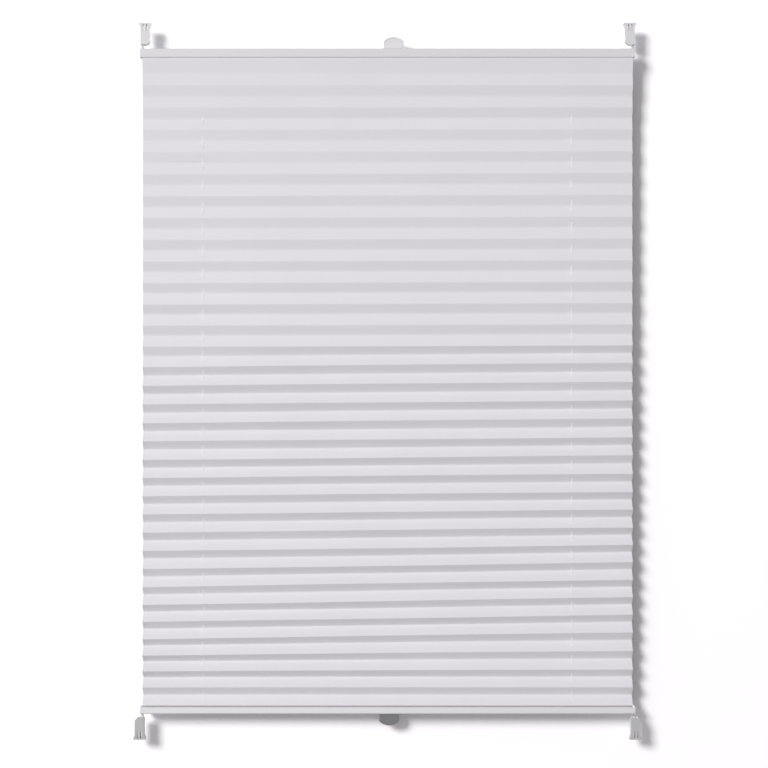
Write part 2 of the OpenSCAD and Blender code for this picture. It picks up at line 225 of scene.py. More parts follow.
class Effects:
    """Node groups that several finishes share."""

    UNDER = 0.35
    GAP_HEIGHTS = (0.15, 0.6)
    GRAIN_BAND = (0.38, 0.62)
    TONE_BAND = (0.3, 0.7)
    TONE_DETAIL = 4.0

    def __init__(self) -> None:
        """Builds each group once."""
        self.weave = self._weave()
        self.grain = self._grain()
        self.tone = self._tone()

    def _weave(self) -> bpy.types.NodeTree:
        """Plain weave of two thread directions.

        Returns:
            A group that gives the threads' height and a mask of the gaps between them.
        """
        wires, inner, outer = new_group(
            "plain_weave",
            [("Vector", "NodeSocketVector", None), ("Warp", "NodeSocketFloat", 2400.0),
             ("Weft", "NodeSocketFloat", 2100.0)],
            [("Height", "NodeSocketFloat"), ("Gap", "NodeSocketFloat")],
        )
        parts = wires.add("ShaderNodeSeparateXYZ")
        wires.feed(parts.inputs[0], inner.outputs["Vector"])
        across = wires.math("MULTIPLY", parts.outputs["X"], inner.outputs["Warp"])
        along = wires.math("MULTIPLY", parts.outputs["Y"], inner.outputs["Weft"])
        cell = wires.math("ADD", wires.math("FLOOR", across), wires.math("FLOOR", along))
        over = wires.math("FLOORED_MODULO", cell, 2.0)
        under = wires.math("SUBTRACT", 1.0, over)
        threads = []
        for count, lies_over in ((across, over), (along, under)):
            thread = wires.math("ABSOLUTE", wires.math("SINE", wires.math("MULTIPLY", count, pi)))
            rise = wires.math("ADD", self.UNDER, wires.math("MULTIPLY", lies_over, 1.0 - self.UNDER))
            threads.append(wires.math("MULTIPLY", thread, rise))
        height = wires.math("MAXIMUM", *threads)
        wires.feed(outer.inputs["Height"], height)
        wires.feed(outer.inputs["Gap"], wires.mapped(height, self.GAP_HEIGHTS, (1.0, 0.0)))
        return wires.tree

    def _grain(self) -> bpy.types.NodeTree:
        """Fine grain, drawn out along any direction.

        Returns:
            A group that gives the grain's height and a soft mask of it.
        """
        wires, inner, outer = new_group(
            "fine_grain",
            [("Vector", "NodeSocketVector", None), ("Stretch", "NodeSocketVector", (1.0, 1.0, 1.0)),
             ("Scale", "NodeSocketFloat", 900.0), ("Detail", "NodeSocketFloat", 3.0)],
            [("Height", "NodeSocketFloat"), ("Mask", "NodeSocketFloat")],
        )
        place = wires.add("ShaderNodeVectorMath", operation="MULTIPLY")
        wires.feed(place.inputs[0], inner.outputs["Vector"])
        wires.feed(place.inputs[1], inner.outputs["Stretch"])
        noise = wires.add("ShaderNodeTexNoise")
        wires.feed(noise.inputs["Vector"], place.outputs[0])
        wires.feed(noise.inputs["Scale"], inner.outputs["Scale"])
        wires.feed(noise.inputs["Detail"], inner.outputs["Detail"])
        wires.feed(outer.inputs["Height"], noise.outputs["Fac"])
        wires.feed(outer.inputs["Mask"], wires.mapped(noise.outputs["Fac"], self.GRAIN_BAND, (0.0, 1.0)))
        return wires.tree

    def _tone(self) -> bpy.types.NodeTree:
        """Slow change of tone over a surface.

        Returns:
            A group that gives a colour between two near tones.
        """
        wires, inner, outer = new_group(
            "slow_tone",
            [("Vector", "NodeSocketVector", None), ("Light", "NodeSocketColor", (0.8, 0.8, 0.8, 1.0)),
             ("Deep", "NodeSocketColor", (0.75, 0.75, 0.75, 1.0)), ("Scale", "NodeSocketFloat", 6.0)],
            [("Color", "NodeSocketColor")],
        )
        noise = wires.add("ShaderNodeTexNoise")
        wires.feed(noise.inputs["Vector"], inner.outputs["Vector"])
        wires.feed(noise.inputs["Scale"], inner.outputs["Scale"])
        wires.feed(noise.inputs["Detail"], self.TONE_DETAIL)
        mix = wires.add("ShaderNodeMix", data_type="RGBA")
        wires.feed(mix.inputs["Factor"], wires.mapped(noise.outputs["Fac"], self.TONE_BAND, (0.0, 1.0)))
        wires.feed(mix.inputs[6], inner.outputs["Light"])
        wires.feed(mix.inputs[7], inner.outputs["Deep"])
        wires.feed(outer.inputs["Color"], mix.outputs[2])
        return wires.tree


@dataclass(frozen=True)
class Finish(ABC):
    """What all finishes share: a colour, a deeper tone of it, a gloss and a fine relief."""

    name: str
    colour: Colour
    deep: Colour
    roughness: tuple[float, float]
    tone_scale: float = 9.0
    relief_strength: float = 0.15
    relief_depth: float = 0.0001

    @abstractmethod
    def pattern(self, wires: NodeWires, effects: Effects) -> tuple[Feed, Feed]:
        """Draws the finish's fine pattern.

        Args:
            wires: The material's wires.
            effects: The shared effects.

        Returns:
            A mask for the gloss and a height for the relief.
        """

    @abstractmethod
    def plain_values(self) -> dict[str, float]:
        """Gives the shader's values that are the same all over the surface."""

    def material(self, effects: Effects) -> bpy.types.Material:
        """Builds the material: a slowly changing colour, the gloss, the relief and the plain values.

        Args:
            effects: The shared effects.

        Returns:
            The material.
        """
        material = bpy.data.materials.new(self.name)
        material.use_nodes = True
        material.diffuse_color = (*self.colour, 1.0)
        wires = NodeWires(material.node_tree)
        shader = material.node_tree.nodes["Principled BSDF"]
        tone = wires.effect(effects.tone, Vector=wires.where("Object"), Light=(*self.colour, 1.0),
                            Deep=(*self.deep, 1.0), Scale=self.tone_scale)
        wires.feed(shader.inputs["Base Color"], tone.outputs["Color"])
        mask, height = self.pattern(wires, effects)
        wires.feed(shader.inputs["Roughness"], wires.mapped(mask, (0.0, 1.0), self.roughness))
        bump = wires.add("ShaderNodeBump")
        bump.inputs["Strength"].default_value = self.relief_strength
        bump.inputs["Distance"].default_value = self.relief_depth
        wires.feed(bump.inputs["Height"], height)
        wires.feed(shader.inputs["Normal"], bump.outputs["Normal"])
        for name, value in self.plain_values().items():
            shader.inputs[name].default_value = value
        return material


@dataclass(frozen=True)
class ClothFinish(Finish):
    """Matt woven polyester, stiffened so that it keeps its pleats."""

    relief_strength: float = 0.18
    relief_depth: float = 0.00012
    warp: float = 2600.0
    weft: float = 2200.0
    slub_scale: float = 700.0
    slub_stretch: Point = (0.06, 1.0, 1.0)
    slub_share: float = 0.8
    specular: float = 0.2
    sheen: float = 0.04
    sheen_roughness: float = 0.6

    def pattern(self, wires: NodeWires, effects: Effects) -> tuple[Feed, Feed]:
        """Weaves the threads, with slubs along them.

        Args:
            wires: The material's wires.
            effects: The shared effects.

        Returns:
            A mask of the gaps between the threads, and the height.
        """
        flat = wires.add("ShaderNodeUVMap", uv_map=PleatedFabric.UV).outputs[0]
        weave = wires.effect(effects.weave, Vector=flat, Warp=self.warp, Weft=self.weft)
        slub = wires.effect(effects.grain, Vector=flat, Stretch=self.slub_stretch,
                            Scale=self.slub_scale, Detail=2.0)
        uneven = wires.math("MULTIPLY", slub.outputs["Height"], self.slub_share)
        return weave.outputs["Gap"], wires.math("ADD", weave.outputs["Height"], uneven)

    def plain_values(self) -> dict[str, float]:
        """Gives a dull surface with a little sheen."""
        return {"Specular IOR Level": self.specular, "Sheen Weight": self.sheen,
                "Sheen Roughness": self.sheen_roughness}


@dataclass(frozen=True)
class CoatingFinish(Finish):
    """Satin powder coating on drawn aluminium."""

    tone_scale: float = 5.0
    relief_strength: float = 0.12
    relief_depth: float = 0.00008
    peel_scale: float = 1400.0
    drawn_scale: float = 2600.0
    drawn_stretch: Point = (0.01, 1.0, 1.0)
    drawn_share: float = 0.5
    specular: float = 0.45

    def pattern(self, wires: NodeWires, effects: Effects) -> tuple[Feed, Feed]:
        """Draws the coating's orange peel over the faint lines of the drawn metal.

        Args:
            wires: The material's wires.
            effects: The shared effects.

        Returns:
            A mask of the peel, and the height.
        """
        place = wires.where("Object")
        peel = wires.effect(effects.grain, Vector=place, Scale=self.peel_scale, Detail=2.0)
        drawn = wires.effect(effects.grain, Vector=place, Stretch=self.drawn_stretch,
                             Scale=self.drawn_scale, Detail=2.0)
        lines = wires.math("MULTIPLY", drawn.outputs["Height"], self.drawn_share)
        return peel.outputs["Mask"], wires.math("ADD", peel.outputs["Height"], lines)

    def plain_values(self) -> dict[str, float]:
        """Gives a satin surface."""
        return {"Specular IOR Level": self.specular}


@dataclass(frozen=True)
class MouldedFinish(Finish):
    """Moulded plastic with a fine spark-eroded texture."""

    tone_scale: float = 28.0
    texture: float = 1800.0
    glow: float = 0.04
    glow_depth: float = 0.002

    def pattern(self, wires: NodeWires, effects: Effects) -> tuple[Feed, Feed]:
        """Draws the mould's texture."""
        grain = wires.effect(effects.grain, Vector=wires.where("Object"), Scale=self.texture, Detail=3.0)
        return grain.outputs["Mask"], grain.outputs["Height"]

    def plain_values(self) -> dict[str, float]:
        """Lets a little light into the plastic."""
        return {"Subsurface Weight": self.glow, "Subsurface Scale": self.glow_depth}


@dataclass(frozen=True)
class CordFinish(Finish):
    """Braided polyester cord."""

    tone_scale: float = 60.0
    relief_strength: float = 0.5
    relief_depth: float = 0.00008
    warp: float = 2000.0
    weft: float = 1500.0
    sheen: float = 0.15

    def pattern(self, wires: NodeWires, effects: Effects) -> tuple[Feed, Feed]:
        """Braids the threads, aslant around the cord.

        Args:
            wires: The material's wires.
            effects: The shared effects.

        Returns:
            A mask of the gaps between the threads, and the height.
        """
        flat = wires.add("ShaderNodeUVMap", uv_map=TensionCord.UV).outputs[0]
        braid = wires.effect(effects.weave, Vector=flat, Warp=self.warp, Weft=self.weft)
        return braid.outputs["Gap"], braid.outputs["Height"]

    def plain_values(self) -> dict[str, float]:
        """Gives the threads their sheen."""
        return {"Sheen Weight": self.sheen}


@dataclass(frozen=True)
class SteelFinish(Finish):
    """Drawn spring steel and crimped sleeves."""

    tone_scale: float = 200.0
    relief_strength: float = 0.1
    relief_depth: float = 0.00003
    drawn_scale: float = 3000.0
    drawn_stretch: Point = (1.0, 1.0, 0.15)

    def pattern(self, wires: NodeWires, effects: Effects) -> tuple[Feed, Feed]:
        """Draws the lines of the drawn metal.

        Args:
            wires: The material's wires.
            effects: The shared effects.

        Returns:
            A mask of the lines, and the height.
        """
        drawn = wires.effect(effects.grain, Vector=wires.where("Object"), Stretch=self.drawn_stretch,
                             Scale=self.drawn_scale, Detail=3.0)
        return drawn.outputs["Mask"], drawn.outputs["Height"]

    def plain_values(self) -> dict[str, float]:
        """Makes it bare metal."""
        return {"Metallic": 1.0}


class Palette:
    """All finishes of the blind as materials, by slot."""

    def __init__(self, effects: Effects) -> None:
        """Builds each material once.

        Args:
            effects: The effects that the finishes share.
        """
        finishes = {
            Slot.CLOTH: ClothFinish(
                "white_pleated_cloth", (0.75, 0.73, 0.765), (0.736, 0.716, 0.751), (0.82, 0.95)),
            Slot.COATING: CoatingFinish(
                "white_rail_coating", (0.675, 0.663, 0.686), (0.663, 0.651, 0.674), (0.34, 0.46)),
            Slot.RAIL_PLASTIC: MouldedFinish(
                "white_cap_plastic", (0.68, 0.67, 0.692), (0.668, 0.658, 0.68), (0.36, 0.5)),
            Slot.SHOE_PLASTIC: MouldedFinish(
                "white_shoe_plastic", (0.67, 0.66, 0.68), (0.656, 0.646, 0.666), (0.4, 0.54),
                texture=1300.0),
            Slot.CORD: CordFinish(
                "white_braided_cord", (0.84, 0.83, 0.85), (0.8, 0.79, 0.81), (0.6, 0.85)),
            Slot.STEEL: SteelFinish(
                "bright_steel", (0.62, 0.63, 0.65), (0.52, 0.53, 0.55), (0.24, 0.4)),
        }
        self.materials = {slot: finish.material(effects) for slot, finish in finishes.items()}

    def dress(self, piece: bpy.types.Object, slot: Slot) -> None:
        """Gives a piece the finish of a slot.

        Args:
            piece: The piece.
            slot: Its material slot.
        """
        piece.data.materials.clear()
        piece.data.materials.append(self.materials[slot])


def link(name: str, data: bpy.types.ID) -> bpy.types.Object:
    """Puts a mesh, a camera or a light into the scene.

    Args:
        name: Name of the new object.
        data: The mesh, camera or light.

    Returns:
        The object.
    """
    thing = bpy.data.objects.new(name, data)
    bpy.context.scene.collection.objects.link(thing)
    return thing


def to_mesh(form: bmesh.types.BMesh, name: str) -> bpy.types.Mesh:
    """Turns a form under work into a mesh.

    Args:
        form: The form, which is freed.
        name: Name of the mesh.

    Returns:
        The mesh.
    """
    mesh = bpy.data.meshes.new(name)
    form.to_mesh(mesh)
    form.free()
    return mesh


def smooth(mesh: bpy.types.Mesh, angle: float) -> None:
    """Shades a mesh smoothly, apart from edges sharper than the angle in degrees."""
    mesh.polygons.foreach_set("use_smooth", [True] * len(mesh.polygons))
    mesh.set_sharp_from_angle(angle=radians(angle))


@dataclass
class Moulding:
    """A rigid piece that keeps its solid's shape and gets softened edges. Angles are in degrees."""

    node: str
    body: Body
    slot: Slot
    edge: float
    sharper_than: float = 38.0
    edge_steps: int = 3
    flat_within: float = 0.8
    weld: float = 2e-6
    smooth_below: float = 34.0

    def build(self) -> bpy.types.Object:
        """Copies the solid's mesh and rounds its edges.

        Returns:
            The piece, riding on its body in place of the node.
        """
        form = bmesh.new()
        form.from_mesh(frame["nodes"][self.node].data)
        bmesh.ops.remove_doubles(form, verts=form.verts, dist=self.weld)
        bmesh.ops.dissolve_limit(form, angle_limit=radians(self.flat_within), verts=form.verts,
                                 edges=form.edges)
        limit = radians(self.sharper_than)
        edges = [e for e in form.edges if e.is_manifold and e.calc_face_angle(0.0) > limit]
        bmesh.ops.bevel(form, geom=edges, offset=self.edge, offset_type="OFFSET", segments=self.edge_steps,
                        profile=0.5, affect="EDGES", clamp_overlap=True)
        mesh = to_mesh(form, self.node + "_form")
        if "custom_normal" in mesh.attributes:
            mesh.attributes.remove(mesh.attributes["custom_normal"])
        smooth(mesh, self.smooth_below)
        piece = link(self.node + "_finished", mesh)
        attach(piece, self.body.value)
        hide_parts(self.node)
        return piece

    def dress(self, piece: bpy.types.Object, palette: Palette) -> None:
        """Gives the piece its finish and keeps its shading even.

        Args:
            piece: The built piece.
            palette: The blind's finishes.
        """
        palette.dress(piece, self.slot)
        even = piece.modifiers.new("even_shading", "WEIGHTED_NORMAL")
        even.keep_sharp = True


@dataclass
class Hardware:
    """Small pieces inside the rails and shoes that keep the solids' own meshes."""

    nodes: tuple[str, ...]
    slot: Slot

    def dress(self, palette: Palette) -> list[bpy.types.Object]:
        """Gives the solids their finish.

        Args:
            palette: The blind's finishes.

        Returns:
            The solids.
        """
        solids = [frame["nodes"][node] for node in self.nodes]
        for solid in solids:
            palette.dress(solid, self.slot)
        return solids


@dataclass
class RailSet:
    """One sliding rail with its end caps, cord guides, fabric strip and handle."""

    side: str
    body: Body
    rail_edge: float = 0.0002
    rail_sharper_than: float = 50.0
    handle_edge: float = 0.0006
    cap_edge: float = 0.0004

    def mouldings(self) -> list[Moulding]:
        """Lists the pieces whose edges are softened.

        Returns:
            The rail, its handle and its end caps.
        """
        rail = Moulding(f"{self.side}_rail", self.body, Slot.COATING, self.rail_edge,
                        self.rail_sharper_than)
        handle = Moulding(f"{self.side}_handle", self.body, Slot.RAIL_PLASTIC, self.handle_edge)
        caps = [Moulding(f"{self.side}_{hand}_end_cap", self.body, Slot.RAIL_PLASTIC, self.cap_edge)
                for hand in HANDS]
        return [rail, handle, *caps]

    def hardware(self) -> Hardware:
        """Lists the pieces hidden inside the rail."""
        guides = [f"{self.side}_{hand}_cord_guide" for hand in HANDS]
        return Hardware((*guides, f"{self.side}_fabric_strip"), Slot.RAIL_PLASTIC)


@dataclass
class ShoeSet:
    """The four tension shoes with their cord stops and springs."""

    corners: tuple[str, ...] = ("upper_left", "upper_right", "lower_left", "lower_right")
    edge: float = 0.0005

    def mouldings(self) -> list[Moulding]:
        """Lists the four shoes."""
        return [Moulding(f"{corner}_shoe", Body.FIXED, Slot.SHOE_PLASTIC, self.edge)
                for corner in self.corners]

    def hardware(self) -> Hardware:
        """Lists the steel pieces in the shoes.

        Returns:
            The cord stops and the springs.
        """
        stops = [f"{corner}_cord_stop" for corner in self.corners]
        springs = [f"lower_{hand}_tension_spring" for hand in HANDS]
        return Hardware((*stops, *springs), Slot.STEEL)


def ramp(value: float, start: float, end: float) -> float:
    """Rises smoothly from 0 at start to 1 at end."""
    share = min(max((value - start) / (end - start), 0.0), 1.0)
    return share * share * (3.0 - 2.0 * share)


def chance(seed: float) -> float:
    """Gives a fixed number from -1 to 1 for a seed, from the far digits of a sine."""
    value = sin(seed * 12.9898 + 4.1414) * 43758.5453
    return 2.0 * (value - value // 1.0) - 1.0


@dataclass
class PleatedFabric:
    """The folded cloth between the rails. Its upper and lower halves meet at one fold.

    The slants say how far a fold rises from the middle to its right end: in the upper pleats, in the
    lower ones, and in those that are pulled askew near the bottom. The droops say how far a fold hangs
    down for each metre that it stands forward. Places given as folds count the front folds from the top.
    """

    UV = "cloth"
    PHASE_SEED, SHIFT_SEED, RIPPLE_SEED = 0.3, 0.7, 0.9
    FACE_SHARES = (0.2, 0.35, 0.45, 0.55, 0.65, 0.8)
    HOLE_ROWS = ((-1.0, Row.RIM), (-0.7, Row.HOLE), (0.7, Row.RIM), (1.0, Row.WHOLE))
    HOLE_COLUMNS = (-2.5, -1.0, -0.5, 0.0, 0.5, 1.0, 2.5)
    HOLE_REACH = {Row.WHOLE: 0.0, Row.RIM: 0.5, Row.HOLE: 1.0}
    BESIDE_HOLE = 0.6

    width: float = 0.898
    thickness: float = 0.0004
    face: float = 0.0206
    upper_pleats: int = 12
    upper_pitch_first: float = 0.0407
    upper_pitch_last: float = 0.0393
    lower_pleats: int = 20
    lower_pitch_first: float = 0.0345
    lower_pitch_last: float = 0.0311
    least_depth: float = 0.0026
    top_lip: float = -0.0645
    first_drop: float = 0.0288
    last_rise: float = 0.003
    tab_depth: float = 0.009
    tab_front: float = 0.009
    first_forward: float = 0.0062
    forward_pleats: float = 2.2
    forward_fade: float = 1.2
    glue: float = 0.0001
    split: int = 14
    hole_x: float = 0.338
    slot_half: float = 0.0007
    slot_clear: float = 4.0
    upper_slant: float = 0.0014
    lower_slant: float = 0.0041
    pulled_slant: float = 0.0070
    slanted_by_fold: float = 5.0
    pulled_folds: tuple[float, float] = (21.0, 25.0)
    level_from_fold: float = 27.0
    upper_droop: float = 0.19
    lower_droop: float = 0.065
    lift: float = 0.0021
    bow: float = 0.0002
    unevenness: float = 0.00022
    lower_unevenness: float = 2.5
    wave_share: float = 0.6
    wave_turn: float = 2.2
    wave_phase: float = 6.0
    ripple: float = 0.0002
    ripple_turn: float = 14.0
    ripple_phase: float = 9.0
    held_top_folds: float = 2.0
    held_bottom_folds: float = 3.0
    stiff_last_folds: float = 2.0
    columns: int = 49
    front_cut: float = 0.0006
    rear_cut: float = 0.0026
    most_cut: float = 0.3
    fold_steps: int = 4
    smooth_below: float = 40.0
    levels: list[float] = field(default_factory=list)

    def __post_init__(self) -> None:
        """Sets the level of each front fold at the middle of the cloth."""
        self.levels = [self.top_lip - self.first_drop - self.upper_pitch_first / 2]
        for first, last, count in ((self.upper_pitch_first, self.upper_pitch_last, self.upper_pleats),
                                   (self.lower_pitch_first, self.lower_pitch_last, self.lower_pleats)):
            for i in range(count):
                self.levels.append(self.levels[-1] - first - (last - first) * i / (count - 1))
        for i in range(len(self.levels) - 1):
            self.levels[i] += self.lift * self.gathered(i, 4, 1)

    def gathered(self, fold: int, before: int, after: int) -> float:
        """Rises from 0 to 1 where the lower pleats begin, from some folds before to some after."""
        return ramp(fold, self.upper_pleats - before, self.upper_pleats + after)

    @property
    def bottom_lip(self) -> float:
        """Level of the bottom rail's lips."""
        return self.levels[-1] - self.last_rise

    @property
    def split_level(self) -> float:
        """Level of the fold where both halves meet."""
        return self.levels[self.split]

    def slant(self, fold: int) -> float:
        """Gives how far a front fold rises from its middle to its right end.

        Args:
            fold: Number of the fold from the top.

        Returns:
            The rise, which grows in three steps and ends at the bottom rail.
        """
        rise = self.upper_slant * ramp(fold, 0.0, self.slanted_by_fold)
        rise += (self.lower_slant - self.upper_slant) * self.gathered(fold, 0, 1)
        rise += (self.pulled_slant - self.lower_slant) * ramp(fold, *self.pulled_folds)
        return rise * (1.0 - ramp(fold, self.level_from_fold, len(self.levels) - 1.5))

    def level(self, fold: int, x: float) -> float:
        """Gives the level of a front fold at one place along it.

        Args:
            fold: Number of the fold from the top.
            x: Place along the fold.

        Returns:
            The level, with the slant and the small unevenness of the hung cloth.
        """
        last = len(self.levels) - 1
        share = 2.0 * x / self.width
        loose = min(1.0, fold / self.held_top_folds, (last - fold) / self.held_bottom_folds)
        turn = self.wave_turn * share + self.wave_phase * chance(fold + self.PHASE_SEED)
        wave = sin(turn) * self.wave_share + (1.0 - self.wave_share) * chance(fold + self.SHIFT_SEED)
        uneven = self.unevenness * (1.0 + self.lower_unevenness * self.gathered(fold, 1, 3))
        return self.levels[fold] + self.slant(fold) * share + loose * wave * uneven

    def depth(self, pitch: float) -> float:
        """Gives the depth of a pleat of some height, whose faces keep their length."""
        return sqrt(max(self.face ** 2 - (pitch / 2) ** 2, self.least_depth ** 2))

    def droop(self, fold: int) -> float:
        """Gives how much a fold hangs down, as a share of how far it stands forward."""
        return self.upper_droop + (self.lower_droop - self.upper_droop) * self.gathered(fold, 2, 1)

    def forward(self, place: float) -> float:
        """Gives how far the first pleats hang forward, by their number from the top."""
        return self.first_forward * max(0.0, 1.0 - (place + 0.5) / self.forward_pleats) ** self.forward_fade

    def corners(self, x: float) -> list[tuple[float, float]]:
        """Finds the corners of the cloth's section at one place.

        Args:
            x: Place along the folds.

        Returns:
            The (y, z) of each corner, from the top tab to the bottom tab.
        """
        levels = [self.level(i, x) for i in range(len(self.levels))]
        pitches = [a - b for a, b in zip(levels, levels[1:])]
        depths = [self.depth(pitch) for pitch in pitches]
        half, seat = self.tab_depth / 2, self.glue + self.thickness / 2
        line = [(half, self.top_lip - seat), (-self.tab_front, self.top_lip - seat),
                (depths[0] / 2 - self.forward(-0.5), levels[0] + self.upper_pitch_first / 2)]
        for i, level in enumerate(levels):
            before, after = depths[max(i - 1, 0)], depths[min(i, len(depths) - 1)]
            y = -(before + after) / 4 - self.forward(i)
            free = min(1.0, (len(levels) - 1 - i) / self.stiff_last_folds)
            turn = self.ripple_turn * x + self.ripple_phase * chance(i + self.RIPPLE_SEED)
            line.append((y + free * self.ripple * sin(turn), level + free * self.droop(i) * y))
            if i < len(pitches):
                rear = depths[i] / 2 - self.forward(i + 0.5)
                line.append((rear, level - pitches[i] / 2 + free * self.droop(i) * rear))
        line += [(-self.tab_depth / 3, self.bottom_lip + seat), (half, self.bottom_lip + seat)]
        return line

    def section(self, x: float) -> tuple[list[tuple[float, float]], list[Row]]:
        """Draws the cloth's section at one place, with rounded folds.

        Args:
            x: Place along the folds.

        Returns:
            The (y, z) points, and for each what the row of faces below it meets.
        """
        line = [Vector(p) for p in self.corners(x)]
        plain = self.corners(0.0)
        last = len(line) - 1
        points, rows = [tuple(line[0])], [Row.WHOLE]
        for k in range(last):
            here, there = line[k], line[k + 1]
            run = there - here
            bend = self.bow if 2 <= k < last - 2 else 0.0
            for share, row in self._stations(here, there, plain[k][0] * plain[k + 1][0] < 0):
                p = here + run * share
                points.append((p.x, p.y - bend * 4 * share * (1 - share)))
                rows.append(row)
            if k + 1 == last:
                points.append(tuple(there))
                rows.append(Row.WHOLE)
                break
            at_front = (k + 1) % 2 == 1
            cut = min(self.front_cut if at_front else self.rear_cut, self.most_cut * run.length)
            if k + 1 in (1, last - 1):
                cut = self.front_cut
            onward = line[k + 2] - there
            arrive = there - run.normalized() * cut
            leave = there + onward.normalized() * min(cut, self.most_cut * onward.length)
            for step in range(self.fold_steps + 1):
                t = step / self.fold_steps
                p = arrive * (1 - t) ** 2 + there * (2 * t * (1 - t)) + leave * t ** 2
                points.append(tuple(p))
                rows.append(Row.WHOLE)
        return points, rows

    def _stations(self, here: Vector, there: Vector, pierced: bool) -> list[tuple[float, Row]]:
        """Places the points between two folds, with the ends of the cord hole among them.

        Args:
            here: The fold above.
            there: The fold below.
            pierced: True if the cord goes through the cloth here.

        Returns:
            For each point its share of the way and what the row below it meets.
        """
        if not pierced:
            return [(share, Row.WHOLE) for share in self.FACE_SHARES]
        span = there.x - here.x
        way = 1.0 if span > 0 else -1.0
        cuts = [((way * side * self.slot_half - here.x) / span, row) for side, row in self.HOLE_ROWS]
        above, below = self.BESIDE_HOLE * cuts[0][0], 1.0 - self.BESIDE_HOLE * (1.0 - cuts[-1][0])
        return [(above, Row.WHOLE), *cuts, (below, Row.WHOLE)]

    def stations_x(self) -> list[float]:
        """Places the columns of the cloth, close together at the cord holes.

        Returns:
            The columns' places, from left to right.
        """
        half, near = self.width / 2, self.slot_clear * self.slot_half
        places = [-half + self.width * i / (self.columns - 1) for i in range(self.columns)]
        places = [x for x in places if abs(abs(x) - self.hole_x) > near]
        for side in (-1.0, 1.0):
            places += [side * self.hole_x + self.slot_half * k for k in self.HOLE_COLUMNS]
        return sorted(places)

    def build(self) -> list[bpy.types.Object]:
        """Builds both halves of the cloth, which meet at one level plane.

        Returns:
            The upper and the lower half.
        """
        halves = []
        for name, upwards, slide, reach, strip in (
            ("pleated_fabric_upper", 1.0, Slide.TOP, self.top_lip - self.glue, "top_fabric_strip"),
            ("pleated_fabric_lower", -1.0, Slide.BOTTOM, self.bottom_lip + self.glue,
             "bottom_fabric_strip"),
        ):
            piece, length = self._half(name, upwards)
            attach(piece, Body.FIXED.value)
            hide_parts("pleated_fabric")
            slide.keep(reach, self.split_level)
            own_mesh(piece)
            halves.append(piece)
        return halves

    def _half(self, name: str, upwards: float) -> tuple[bpy.types.Object, float]:
        """Makes one half of the cloth as a thin closed sheet with its cord holes.

        Args:
            name: Name of the piece.
            upwards: 1 for the half above the level plane, -1 for the one below it.

        Returns:
            The piece and its length when it is laid flat.
        """
        places = self.stations_x()
        sections = [self.section(x) for x in places]
        rows = sections[0][1]
        middle = [Vector(p) for p in sections[len(places) // 2][0]]
        run = [0.0]
        for above, below in zip(middle, middle[1:]):
            run.append(run[-1] + (below - above).length)
        form = bmesh.new()
        flat = form.loops.layers.uv.new(self.UV)
        grid = [[form.verts.new((x, *line[r])) for x, (line, _) in zip(places, sections)]
                for r in range(len(rows))]
        for r in range(len(rows) - 1):
            reach = self.slot_half * self.HOLE_REACH[rows[r]]
            for c in range(len(places) - 1):
                if abs(abs(places[c] + places[c + 1]) / 2 - self.hole_x) < reach:
                    continue
                sheet = form.faces.new((grid[r][c], grid[r + 1][c], grid[r + 1][c + 1], grid[r][c + 1]))
                for loop, (dr, dc) in zip(sheet.loops, ((0, 0), (1, 0), (1, 1), (0, 1))):
                    loop[flat].uv = (places[c + dc], run[r + dr])
        bmesh.ops.bisect_plane(form, geom=[*form.verts, *form.edges, *form.faces], dist=1e-6,
                               clear_outer=True, plane_co=(0, 0, self.split_level),
                               plane_no=(0, 0, -upwards))
        length = sum(face.calc_area() for face in form.faces) / self.width
        loose = [v for v in form.verts if not v.link_faces]
        bmesh.ops.delete(form, geom=loose, context="VERTS")
        piece = link(name, to_mesh(form, name))
        shell = piece.modifiers.new("thickness", "SOLIDIFY")
        shell.thickness = self.thickness
        shell.offset = 0.0
        bpy.context.view_layer.objects.active = piece
        bpy.ops.object.modifier_apply(modifier=shell.name)
        smooth(piece.data, self.smooth_below)
        return piece, length

    def dress(self, pieces: list[bpy.types.Object], palette: Palette) -> None:
        """Gives both halves the cloth's finish."""
        for piece in pieces:
            palette.dress(piece, Slot.CLOTH)


